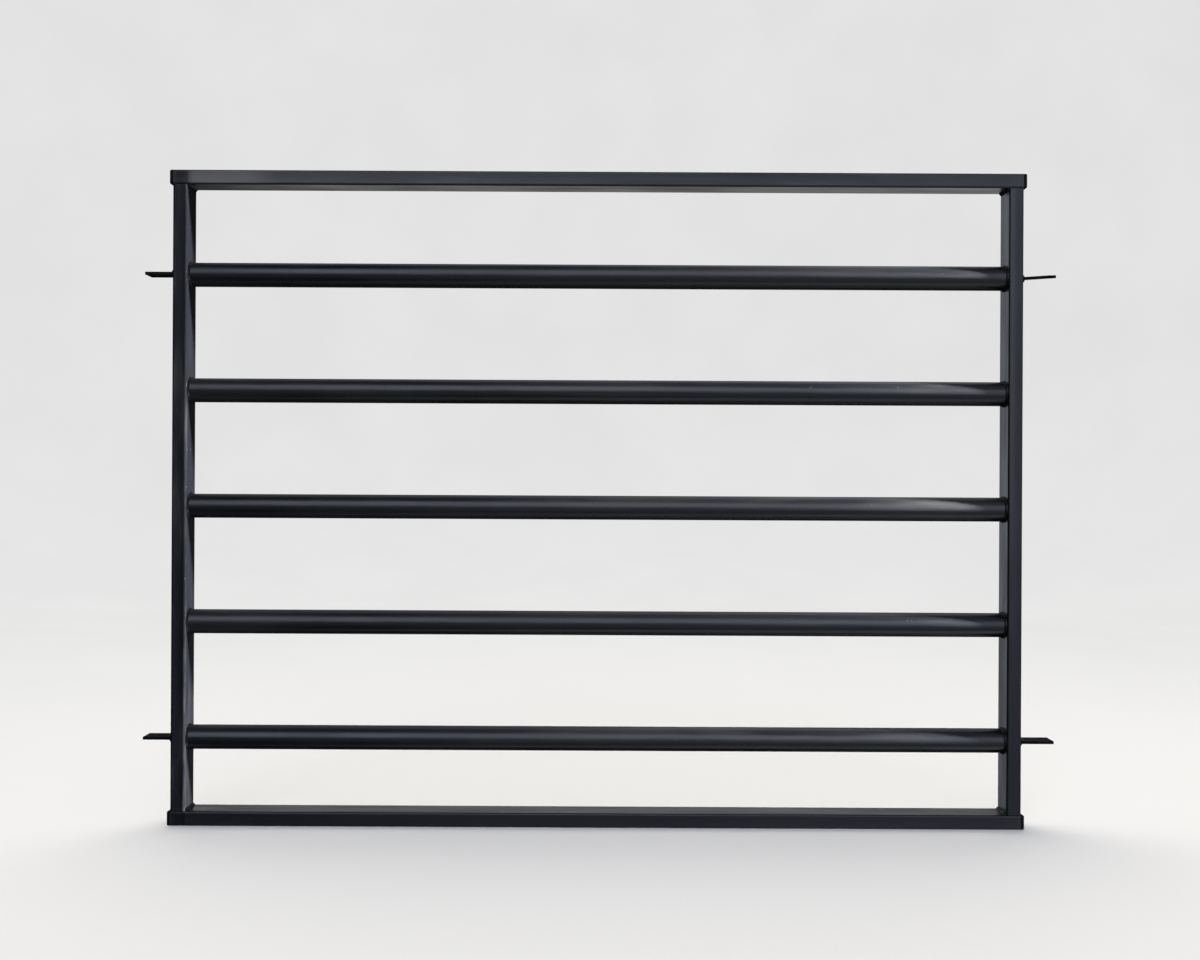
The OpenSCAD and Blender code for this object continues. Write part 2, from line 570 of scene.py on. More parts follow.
@dataclass
class Wardrobe:
    """The finishes that the pieces share, made once. A stretch draws a coat's pattern out along a piece."""

    rail: bpy.types.Material = field(default_factory=Paint("rail_enamel", stretch=ALONG_X).make)
    # The stiles' coats are one paint at two specular levels: a shaded copy on the left, a lit copy on the
    # right.
    stile: dict[Side, bpy.types.Material] = field(
        default_factory=lambda: {
            Side.LEFT: Paint("left_stile_shaded_enamel", stretch=ALONG_Z, gloss=0.12).make(),
            Side.RIGHT: Paint("right_stile_lit_enamel", stretch=ALONG_Z, gloss=0.43).make(),
        }
    )
    # The rails' end blocks take the same shaded copy on the left and lit copy on the right.
    touched: dict[Side, bpy.types.Material] = field(
        default_factory=lambda: {
            Side.LEFT: Paint("left_end_shaded_enamel", stretch=JOINT_Z, gloss=0.24).make(),
            Side.RIGHT: Paint("right_end_lit_enamel", stretch=JOINT_Z, gloss=0.52).make(),
        }
    )
    bar: bpy.types.Material = field(
        default_factory=Paint("bar_enamel", stretch=BAR_X, roughness=(0.23, 0.33), gloss=0.52).make
    )
    lug: bpy.types.Material = field(
        default_factory=Paint("lug_enamel", roughness=(0.55, 0.7), edge_wear=0.5, gloss=0.03).make
    )
    weld: bpy.types.Material = field(default_factory=WeldPaint("weld_enamel").make)
    cap: bpy.types.Material = field(default_factory=MouldedPlastic("cap_grain").make)


def dress(mesh: bpy.types.Mesh, node: str, finish: bpy.types.Material) -> bpy.types.Object:
    """Turns a mesh into a piece that stands for a frame node and rides with it.

    Args:
        mesh: The finished surface, in place, which gives the piece its name.
        node: The frame node that it stands for.
        finish: The material.

    Returns:
        The piece.
    """
    mesh.materials.append(finish)
    piece = bpy.data.objects.new(mesh.name, mesh)
    bpy.context.scene.collection.objects.link(piece)
    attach(piece, BODY)
    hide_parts(node)
    log.info("%s: %d faces, stands for %s", piece.name, len(mesh.polygons), node)
    return piece


def box_of(node: str) -> tuple[np.ndarray, np.ndarray, np.ndarray]:
    """A frame node's lowest corner, highest corner and centre."""
    low, high = (np.array(corner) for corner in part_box(node))
    return low, high, (low + high) / 2


TUBE_SECTION = Outline.rounded(8, (0.04, 0.14, 0.32, 0.5, 0.68, 0.86, 0.96))


@dataclass
class BoxTube:
    """A length of rectangular tube: a rail along X, or a stile along Z.

    Painted highlight is the strength of a pale painted glare on the front face. Joint, patch and trail are
    where that starts and ends along a rail, from its left end, and stile_side and stile_rise across and up a
    stile, from its centre.
    """

    node: str
    upright: bool
    wall: float = 1.5 * MM
    corner: float = 2.0 * MM
    chamfer: float = 0.2 * MM
    step: float = 5.0 * MM
    ground_depth: float = 0.10 * MM
    ground_run: float = 1.6 * MM
    dish: float = 0.12 * MM
    cut_wear: float = 3.5
    cut_edge: Span = (1.5 * MM, 0.7 * MM)
    # The strength of the painted highlight on the front face.
    painted_highlight: float = 0.0
    joint: Span = (14.0 * MM, 20.0 * MM)
    patch: Span = (70.0 * MM, 115.0 * MM)
    trail: Span = (100.0 * MM, 600.0 * MM)
    trail_share: float = 0.32
    stile_side: Span = (-5.0 * MM, 1.5 * MM)
    stile_rise: Span = (-180.0 * MM, 240.0 * MM)

    def painted_highlighted(self, rings: np.ndarray) -> np.ndarray:
        """Where the painted highlight lies.

        On a rail that is a patch by its left joint with a thinning trail. On a stile it is the left part of
        its face, thinning downwards.

        Args:
            rings: The tube's points about its centre.

        Returns:
            The share of painted highlight at each point.
        """
        if self.upright:
            beside = 1.0 - smooth_step(rings[..., 0], *self.stile_side)
            return self.painted_highlight * beside * smooth_step(rings[..., 2], *self.stile_rise)
        along = rings[..., 0] - rings[..., 0].min()
        patch = (1.0 - self.trail_share) * (1.0 - smooth_step(along, *self.patch))
        trail = self.trail_share * (1.0 - smooth_step(along, *self.trail))
        return self.painted_highlight * smooth_step(along, *self.joint) * (patch + trail)

    def shell(self) -> Shell:
        """The tube's wall as one joined surface.

        Each ring is the rounded outline with its corners' radius less by the inset, so the wall is even all
        round, and each flat is dished slightly, as cold-formed tube is. On a rail the front of each end
        block, as long as a stile is wide, is ground back where the weld was dressed flush: the inset grows by
        the ground depth over a short run at the joint.

        Returns:
            The shell, with an edge mark on the round corners and a stronger one at the cut ends, and a
            painted highlight mark on the front.
        """
        low, high, centre = box_of(self.node)
        axis, across = (2, 0) if self.upright else (0, 2)
        size = high - low
        place, inset = lip_path(size[axis], self.wall, self.chamfer, self.step)
        half = np.array([size[1], size[across]]) / 2
        anchor = TUBE_SECTION.anchor * (half - self.corner)
        hollow = self.dish * TUBE_SECTION.hollow()
        section = anchor + TUBE_SECTION.reach * (self.corner - inset[:, None] - hollow)[..., None]
        outer = (inset < self.wall / 2).astype(float)[:, None]
        front = smooth_step(-TUBE_SECTION.reach[:, 0], 0.80, 1.0)
        from_end = size[axis] / 2 - np.abs(place)[:, None]
        ground = 1.0 - smooth_step(from_end, size[across], size[across] + self.ground_run)
        rings = np.zeros((len(place), len(anchor), 3))
        rings[..., axis] = place[:, None]
        rings[..., 1] = section[..., 0]
        rings[..., across] = section[..., 1]
        if not self.upright:
            rings[..., 1] += ground * outer * front * self.ground_depth
        cut = self.cut_wear * smooth_step(-from_end, -self.cut_edge[0], -self.cut_edge[1])
        marks = {
            "edge": outer * np.maximum(TUBE_SECTION.roundness(), cut),
            # The front face's painted highlight.
            "painted_highlight": outer * front * self.painted_highlighted(rings),
        }
        return Shell(rings + centre, True, marks)

    def build(self, finish: bpy.types.Material) -> bpy.types.Object:
        """Makes the piece in that finish."""
        return dress(mesh_of(self.node + "_tube", [self.shell()]), self.node, finish)

    def touch_up(self, piece: bpy.types.Object, coats: dict[Side, bpy.types.Material]) -> None:
        """Paints a rail's end blocks like the stiles.

        Each joint is dressed flush after welding, and the end block takes the stile's coat on that side, one
        paint at its own specular level: a shaded copy on the left and a lit copy on the right, so the stile's
        tone runs on to the rail's end.

        Args:
            piece: The rail.
            coats: The coat on each side, a shaded copy on the left and a lit copy on the right.
        """
        low, high, centre = box_of(self.node)
        mesh = piece.data
        middles = np.zeros(len(mesh.polygons) * 3)
        mesh.polygons.foreach_get("center", middles)
        out = middles.reshape(-1, 3)[:, 0] - centre[0]
        inner_end = (high[0] - low[0]) / 2 - (high[2] - low[2])
        index = np.zeros(len(out), np.int32)
        for number, (side, coat) in enumerate(coats.items(), 1):
            mesh.materials.append(coat)
            index[out * side.value > inner_end] = number
        mesh.polygons.foreach_set("material_index", index)


BAR_SECTION = Outline.circle(96)


@dataclass
class RoundBar:
    """A round tube between the stiles."""

    number: int
    wall: float = 1.5 * MM
    chamfer: float = 0.15 * MM
    step: float = 5.0 * MM
    rubbed: float = 14.0 * MM
    end_wear: float = 0.5

    def shell(self) -> Shell:
        """The bar's wall as one joined surface: circles whose radius is the bar's less the inset.

        Returns:
            The shell, with an edge mark at its two ends, where the paint is rubbed.
        """
        low, high, centre = box_of(f"bar_{self.number}")
        place, inset = lip_path(high[0] - low[0], self.wall, self.chamfer, self.step)
        radius = (high[2] - low[2]) / 2 - inset
        section = BAR_SECTION.at(np.zeros((len(place), 2)) + radius[:, None], radius)
        rings = ring_points(place[:, None], section[..., 0], section[..., 1])
        half = (high[0] - low[0]) / 2
        end = smooth_step(np.abs(place), half - self.rubbed, half)
        return Shell(rings + centre, True, {"edge": self.end_wear * end[:, None]})

    def build(self, finish: bpy.types.Material) -> bpy.types.Object:
        """Makes the piece in that finish."""
        node = f"bar_{self.number}"
        return dress(mesh_of(node + "_tube", [self.shell()]), node, finish)


def bead_face(steps: int, fullness: float) -> tuple[np.ndarray, np.ndarray]:
    """A weld's face seen end on: shares of its two legs along a full quarter curve.

    The shares are the cosine and the sine of a turn from 0 to a right angle, raised to the power that
    makes both the fullness at the middle. A fullness of 0.5 would be flat.

    Args:
        steps: Points along the face.
        fullness: The share of each leg at the face's middle.

    Returns:
        The shares of the first and of the second leg.
    """
    turn = np.linspace(0.0, math.pi / 2, steps)
    power = math.log(fullness) / math.log(math.sqrt(0.5))
    return np.cos(turn) ** power, np.sin(turn) ** power


def ripples(run: np.ndarray, across: np.ndarray, pitch: float, seed: int) -> np.ndarray:
    """The scales that a weld pool leaves: a slow rise and a sudden fall once every pitch.

    The phase is run / pitch plus a bow of 0.55 (2 across - 1)^2 and a slow wander, 0.22 times a sum of three
    sines with seeded phases. The height is the phase's fraction to the power 1.6.

    Args:
        run: Distance along the bead.
        across: Share of the way across its face.
        pitch: The distance from one scale to the next.
        seed: The seed of the wander.

    Returns:
        Heights from 0 to 1.
    """
    draw = np.random.default_rng(seed)
    lifts = draw.uniform(0.0, 2 * math.pi, 3)
    waves = (np.sin(run / (pitch * span) + lift) for span, lift in zip((3.1, 5.3, 8.7), lifts))
    phase = run / pitch + 0.55 * (2 * across - 1) ** 2 + 0.22 * sum(waves)
    return (phase % 1.0) ** 1.6


@dataclass
class RingBead:
    """The weld round one end of a bar, on the stile's inner face."""

    number: int
    side: Side
    bury: float = 0.25 * MM
    pitch: float = 1.35 * MM
    scale_height: float = 0.13
    steps: int = 448
    face_steps: int = 11
    fullness: float = 0.62
    size: float = 0.86
    tack: float = 0.24
    sway: float = 0.05
    # Where the painted glint sits round the left beads, and how wide it is.
    painted_glint_turn: float = math.pi + 0.42
    painted_glint_width: float = 0.13

    def shell(self) -> Shell:
        """The bead as a ring: its section turned round the bar's axis.

        At each turn the two legs, up the stile and along the bar, are the frame node's own times size. Tack
        is added to that above and below the bar, sway comes and goes three times round, and the ripples take
        a little off. The section's root is buried in both parents. Angle 0 faces the window side and a
        quarter turn points up.

        Returns:
            The shell, with a mark for the painted light on the ripples' crests, which leaves painted shade in
            the valleys, and, on the left, a painted glint mark at the lower front.
        """
        node = f"weld_bar_{self.number}_{self.side.word}"
        low, high, centre = box_of(node)
        bar_low, bar_high, _ = box_of(f"bar_{self.number}")
        bar_radius = (bar_high[2] - bar_low[2]) / 2
        rise = (high[2] - low[2]) / 2 - bar_radius
        leg = high[0] - low[0]
        wall_x = high[0] if self.side is Side.RIGHT else low[0]
        turn = np.arange(self.steps) * 2 * math.pi / self.steps
        up, along = bead_face(self.face_steps, self.fullness)
        across = np.linspace(0.0, 1.0, self.face_steps)
        seed = 10 * self.number + self.side.value
        height = ripples(turn[:, None] * bar_radius, across, self.pitch, seed)
        draw = np.random.default_rng(seed + 400)
        shifts = draw.uniform(-0.25, 0.25, 2)
        widths = draw.uniform(0.20, 0.32, 2)
        tack = 0.0
        for place, shift, width in zip((math.pi / 2, 3 * math.pi / 2), shifts, widths):
            away = (turn - place - shift + math.pi) % (2 * math.pi) - math.pi
            tack = tack + np.exp(-((away / width) ** 2))
        swell = (self.size + self.tack * tack + self.sway * np.sin(3 * turn + 9 * shifts[0]))[:, None]
        bow = 4 * across * (1 - across)
        grow = swell * (1.0 - self.scale_height * (1 - height) * bow)
        column = np.ones((self.steps, 1))
        buried = column * (bar_radius - self.bury)
        radial = np.concatenate([buried, bar_radius + rise * up * grow, buried], 1)
        axial = np.concatenate([column * -self.bury, leg * along * grow, column * 0.9 * leg], 1)
        axial[:, 1] = -self.bury
        y = centre[1] + radial * np.cos(turn)[:, None]
        z = centre[2] + radial * np.sin(turn)[:, None]
        rings = ring_points(wall_x - self.side.value * axial, y, z)
        # Painted light on the ripples' crests, painted shade in their valleys.
        painted_crest_light = np.pad(height * bow, ((0, 0), (1, 1)))
        # Painted glint on the left beads' lower front, where a highlight falls.
        spot = np.exp(-(((turn - self.painted_glint_turn) / self.painted_glint_width) ** 2))
        painted_glint = np.pad(spot[:, None] * bow, ((0, 0), (1, 1))) * (self.side is Side.LEFT)
        return Shell(rings, True, {"painted_crest_light": painted_crest_light, "painted_glint": painted_glint})

    def build(self, finish: bpy.types.Material) -> bpy.types.Object:
        """Makes the piece in that finish."""
        node = f"weld_bar_{self.number}_{self.side.word}"
        return dress(mesh_of(node + "_bead", [self.shell()]), node, finish)


@dataclass
class FilletBead:
    """A straight bead along Y whose section spans two legs from a root in the XZ plane."""

    root: np.ndarray
    first: np.ndarray
    second: np.ndarray
    middle: float
    length: float
    seed: int
    bury: float = 0.25 * MM
    pitch: float = 1.4 * MM
    scale_height: float = 0.14
    step: float = 0.22 * MM
    face_steps: int = 10
    fullness: float = 0.64
    crater: float = 0.25
    crater_run: float = 0.8
    size: float = 0.93
    sway: float = 0.06
    sway_span: float = 4.1 * MM

    def shell(self) -> Shell:
        """The bead as rings along Y, closed at both ends.

        Each ring is the root, buried a little, and the full quarter face between the legs. The legs sway
        slowly along the run, lose the ripples' depth, and fall to a quarter in a rounded crater at each end,
        as the square root of 1 less the square of the share of the way into it.

        Returns:
            The shell, with a mark for the ripples' painted light and shade and an empty painted glint mark.
        """
        count = int(round(self.length / self.step)) + 1
        run = np.linspace(-self.length / 2, self.length / 2, count)
        reach = float(np.linalg.norm(self.first))
        sunk = self.crater_run * reach
        past = np.clip((np.abs(run) - (self.length / 2 - sunk)) / sunk, 0.0, 1.0)
        taper = self.crater + (1.0 - self.crater) * np.sqrt(1.0 - past**2)
        one, other = bead_face(self.face_steps, self.fullness)
        across = np.linspace(0.0, 1.0, self.face_steps)
        height = ripples(run[:, None], across, self.pitch, self.seed)
        bow = 4 * across * (1 - across)
        wave = self.size + self.sway * np.sin(run / self.sway_span + self.seed)
        grow = (taper * wave)[:, None] * (1.0 - self.scale_height * (1 - height) * bow)
        inward = -(self.first + self.second)
        inward = inward / np.linalg.norm(inward) * self.bury
        face = (one * grow)[..., None] * self.first + (other * grow)[..., None] * self.second
        face[:, 0] += inward
        face[:, -1] += inward
        corner = np.broadcast_to(inward * 1.5, (count, 1, 2))
        flat = np.concatenate([corner, face], 1) + self.root
        rings = ring_points(flat[..., 0], (run + self.middle)[:, None], flat[..., 1])
        # Painted light on the ripples' crests, painted shade in their valleys; no painted glint here.
        painted_crest_light = np.pad(height * bow, ((0, 0), (1, 0)))
        return Shell(rings, False, {"painted_crest_light": painted_crest_light, "painted_glint": np.zeros_like(painted_crest_light)})


@dataclass
class CornerBead:
    """The fillet weld in one inner corner of the frame."""

    level: Level
    side: Side

    def build(self, finish: bpy.types.Material) -> bpy.types.Object:
        """Makes the bead from the corner's frame node, whose two legs run along the stile and the rail.

        Args:
            finish: The weld's material.

        Returns:
            The piece.
        """
        node = f"weld_corner_{self.level.word}_{self.side.word}"
        low, high, centre = box_of(node)
        root_x = high[0] if self.side is Side.RIGHT else low[0]
        root_z = high[2] if self.level is Level.TOP else low[2]
        leg = high[0] - low[0]
        first = np.array([-self.side.value * leg, 0.0])
        second = np.array([0.0, -self.level.value * leg])
        seed = 70 + 2 * self.level.value + self.side.value
        root = np.array([root_x, root_z])
        bead = FilletBead(root, first, second, centre[1], high[1] - low[1], seed)
        return dress(mesh_of(node + "_bead", [bead.shell()]), node, finish)


LUG_SECTION = Outline.rounded(5, (0.03, 0.12, 0.5, 0.88, 0.97))


@dataclass
class AnchorLug:
    """A flat strip welded to a stile's outer face, and the beads above and below its root."""

    level: Level
    side: Side
    thickness: float = 3.0 * MM
    depth: float = 20.0 * MM
    edge: float = 0.35 * MM
    bead: float = 4.0 * MM
    bend: float = math.radians(4.0)
    twist: float = math.radians(9.0)
    end_rings: Span = (0.35, 0.75)

    @property
    def knocked(self) -> bool:
        """Whether this is the lug that was knocked: the top right one, which is bent and twisted."""
        return self.level is Level.TOP and self.side is Side.RIGHT

    @property
    def tilt(self) -> float:
        """How far the strip is bent up."""
        return self.bend if self.knocked else 0.0

    def turned(self, shell: Shell) -> Shell:
        """The shell turned about the strip's run by the twist, which lifts its back edge.

        Args:
            shell: The strip or a bead, lying level.

        Returns:
            The same shell, turned about the line along X through the root's middle, or as it was on a lug
            that isn't twisted.
        """
        if not self.knocked:
            return shell
        root = self.root()[0]
        back, up = shell.rings[..., 1] - root[1], shell.rings[..., 2] - root[2]
        cos, sin = math.cos(self.twist), math.sin(self.twist)
        y = root[1] + back * cos - up * sin
        z = root[2] + back * sin + up * cos
        return Shell(ring_points(shell.rings[..., 0], y, z), shell.joined, shell.marks)

    def root(self) -> tuple[np.ndarray, float]:
        """Where the strip meets the stile.

        Returns:
            The root's middle as (x, y, z) and the strip's length along its own run.
        """
        low, high, _ = box_of(f"lug_{self.level.word}_{self.side.word}")
        stile_low, stile_high, _ = box_of(f"{self.side.word}_stile")
        face_x = stile_high[0] if self.side is Side.RIGHT else stile_low[0]
        bar_number = BAR_NUMBERS[0 if self.level is Level.TOP else -1]
        bar_z = box_of(f"bar_{bar_number}")[2][2]
        far = max(abs(high[0]), abs(low[0])) - abs(face_x)
        length = (far - 0.5 * self.thickness * math.sin(self.tilt)) / math.cos(self.tilt)
        stile_centre = (stile_low + stile_high) / 2
        return np.array([face_x, stile_centre[1], bar_z]), length

    def strip(self) -> Shell:
        """The strip as rings along its run, closed at both ends.

        A ring is the strip's section, with its sheared edges rounded. At the free end the section draws in
        over the edge radius. At the root every point lies on the stile's face, so a bent strip's first ring
        is cut on the slant: a point at height h starts h * tan(tilt) along the run.

        Returns:
            The shell, with an edge mark on the sheared edges and the free end.
        """
        root, length = self.root()
        turn = np.linspace(0.0, math.pi / 2, 5)[1:]
        body = np.linspace(0.0, length - self.edge, 22)
        nose = length - self.edge + self.edge * np.sin(turn)
        drawn_in = self.edge * (1 - np.cos(turn))
        run = np.concatenate([[0.0, 0.0], body, nose, [length, length]])
        inset = np.concatenate([[0.0, 0.0], np.zeros(len(body)), drawn_in, [self.edge, self.edge]])
        shrink = np.ones(len(run))
        shrink[:2] = self.end_rings
        shrink[-2:] = self.end_rings[::-1]
        half = np.array([self.depth, self.thickness]) / 2
        anchor = LUG_SECTION.anchor * (half - self.edge)
        section = (anchor + LUG_SECTION.reach * (self.edge - inset)[:, None, None]) * shrink[:, None, None]
        height = section[..., 1]
        start = height * math.tan(self.tilt)
        share = np.clip(run / length, 0.0, 1.0)[:, None]
        distance = start * (1 - share) + run[:, None]
        out = distance * math.cos(self.tilt) - height * math.sin(self.tilt)
        z = root[2] + distance * math.sin(self.tilt) + height * math.cos(self.tilt)
        rings = ring_points(root[0] + self.side.value * out, root[1] + section[..., 0], z)
        tip = smooth_step(run, length - 2.5 * self.edge, length)[:, None]
        return self.turned(Shell(rings, False, {"edge": np.maximum(LUG_SECTION.roundness(), tip)}))

    def beads(self) -> list[Shell]:
        """The beads above and below the root: one leg along the strip, the other up or down the stile."""
        root, _ = self.root()
        rise = self.thickness / 2 / math.cos(self.tilt)
        shells = []
        for way in (1, -1):
            start = np.array([root[0], root[2] + way * rise])
            along = np.array([self.side.value * math.cos(self.tilt), math.sin(self.tilt)]) * self.bead
            upright = np.array([0.0, way * self.bead])
            seed = 120 + 8 * self.level.value + 3 * self.side.value + way
            bead = FilletBead(start, along, upright, root[1], self.depth, seed)
            shells.append(self.turned(bead.shell()))
        return shells

    def build(self, finish: bpy.types.Material, weld_finish: bpy.types.Material) -> list[bpy.types.Object]:
        """Makes the strip and its weld.

        Args:
            finish: The strip's material.
            weld_finish: The weld's material.

        Returns:
            The two pieces.
        """
        node = f"lug_{self.level.word}_{self.side.word}"
        weld_node = "weld_" + node
        return [
            dress(mesh_of(node + "_strip", [self.strip()]), node, finish),
            dress(mesh_of(weld_node + "_beads", self.beads()), weld_node, weld_finish),
        ]


CAP_SECTION = Outline.rounded(8, (0.05, 0.2, 0.5, 0.8, 0.95))


@dataclass
class EndCap:
    """A moulded cap that closes one end of a rail: a rounded flange outside and a ribbed plug inside."""

    level: Level
    side: Side
    flange: float = 3.5 * MM
    corner: float = 2.0 * MM
    dome: float = 1.5 * MM
    plug_length: float = 14.0 * MM
    plug_wall: float = 1.2 * MM
    tube_wall: float = 1.5 * MM
    gap: float = 0.05 * MM
    rib_height: float = 0.7 * MM
    rib_width: float = 1.0 * MM
    rib_count: int = 3
    rib_fall: float = 0.15 * MM
    rib_rise: float = 0.25 * MM
    skirt: float = 1.2 * MM
    seat: float = 0.25 * MM
    crown: float = 0.12 * MM
    tight: float = 0.3 * MM
    pocket_floor: float = 0.5 * MM
    pocket_corner: float = 0.4 * MM

    def path(self) -> np.ndarray:
        """The way along the cap's wall, from the middle of the flange's face to the plug's pocket.

        It goes out over the slightly crowned face and round the dome, a quarter circle, then back down the
        flange's side to a small seat line against the tube's end, in along the plug over its ribs, round
        the plug's lip and back inside.

        Returns:
            Rows of (x outwards from the tube's end, inset from the flange's outline, share of full size,
            corner radius).
        """
        shares = (0.3, 0.6, 0.85)
        rows = [(self.flange - self.crown * share**2, self.dome, share, self.corner) for share in shares]
        for angle in np.linspace(math.pi / 2, 0.0, 9):
            sunk = self.crown * math.sin(angle) + self.dome * (1 - math.sin(angle))
            rows.append((self.flange - sunk, self.dome * (1 - math.cos(angle)), 1.0, self.corner))
        foot = ((self.skirt, 0.0), (self.seat, 0.0), (0.0, self.seat))
        rows += [(out, inset, 1.0, self.corner) for out, inset in foot]
        rib = self.tube_wall + self.gap
        skin = rib + self.rib_height
        slim = self.corner - self.tube_wall
        plug = [(0.0, skin)]
        pitch = (self.plug_length - self.rib_width) / self.rib_count
        for number in range(self.rib_count - 1, -1, -1):
            start = -self.plug_length + number * pitch
            end = start + self.rib_width
            plug += [(end + self.rib_fall, skin), (end - self.rib_rise, rib), (start + self.rib_rise, rib)]
            plug += [(start - self.rib_fall, skin) if number else (start, rib + self.rib_rise)]
        rows += [(out, inset, 1.0, slim) for out, inset in plug]
        inner = skin + self.plug_wall
        rows += [(out, inner, 1.0, self.tight) for out in (-self.plug_length, -2 * self.pocket_floor)]
        rows += [(-self.pocket_floor, inner + self.pocket_corner, share, self.tight) for share in (1.0, 0.5)]
        return np.array(rows)

    def shell(self) -> Shell:
        """The cap as rings along its path: at each row the flange's outline drawn in by the inset.

        Returns:
            The shell, with an edge mark on the dome.
        """
        low, high, centre = box_of(f"cap_{self.level.word}_{self.side.word}")
        end_x = (high[0] if self.side is Side.RIGHT else low[0]) - self.side.value * self.flange
        path = self.path()
        half = (np.array([high[1] - low[1], high[2] - low[2]]) / 2 - path[:, 1:2]) * path[:, 2:3]
        drawn_in = np.where(path[:, 1] <= self.dome, path[:, 1], 0.0)
        radius = np.maximum(path[:, 3] - drawn_in, self.tight) * path[:, 2]
        section = CAP_SECTION.at(half, radius)
        x = end_x + self.side.value * path[:, :1]
        rings = ring_points(x, centre[1] + section[..., 0], centre[2] + section[..., 1])
        worn = smooth_step(path[:, 0], self.flange - 1.3 * self.dome, self.flange - 0.5 * self.dome)
        return Shell(rings, False, {"edge": worn[:, None] * (path[:, 2:3] > 0.95)})

    def build(self, finish: bpy.types.Material) -> bpy.types.Object:
        """Makes the piece in that finish."""
        node = f"cap_{self.level.word}_{self.side.word}"
        return dress(mesh_of(node + "_moulding", [self.shell()]), node, finish)


# ---- Studio ----


@dataclass(frozen=True)
class Lobe:
    """A soft patch of light in the sky: its direction, its reach in degrees, its tint and its strength."""

    towards: Triple
    reach: float
    colour: Triple
    strength: float


@dataclass(frozen=True)
class Sun:
    """A far lamp: its name, direction, power per square metre, the angle of its disc in degrees and tint."""

    name: str
    towards: Triple
    strength: float
    width: float
    tint: Triple = (1.0, 1.0, 1.0)

    def hang(self, lit: list[bpy.types.Object]) -> bpy.types.Object:
        """Hangs the lamp, pointed at the frame's centre.

        Args:
            lit: The objects that its light falls on.

        Returns:
            The lamp's object.
        """
        lamp = bpy.data.lights.new(self.name, "SUN")
        lamp.energy, lamp.angle, lamp.color = self.strength, math.radians(self.width), self.tint
        holder = bpy.data.objects.new(self.name, lamp)
        way = Vector(self.towards).normalized()
        holder.location = way * 2.0
        holder.rotation_euler = way.to_track_quat("Z", "Y").to_euler()
        bpy.context.scene.collection.objects.link(holder)
        flag_off(holder, lit)
        return holder


def flag_off(lamp: bpy.types.Object, lit: list[bpy.types.Object]) -> None:
    """Keeps a lamp's light off everything but some objects, as flags do in a studio.

    Args:
        lamp: The lamp's object.
        lit: The objects that its light falls on.
    """
    receivers = bpy.data.collections.new(lamp.name + "_falls_on")
    for item in lit:
        receivers.objects.link(item)
    lamp.light_linking.receiver_collection = receivers


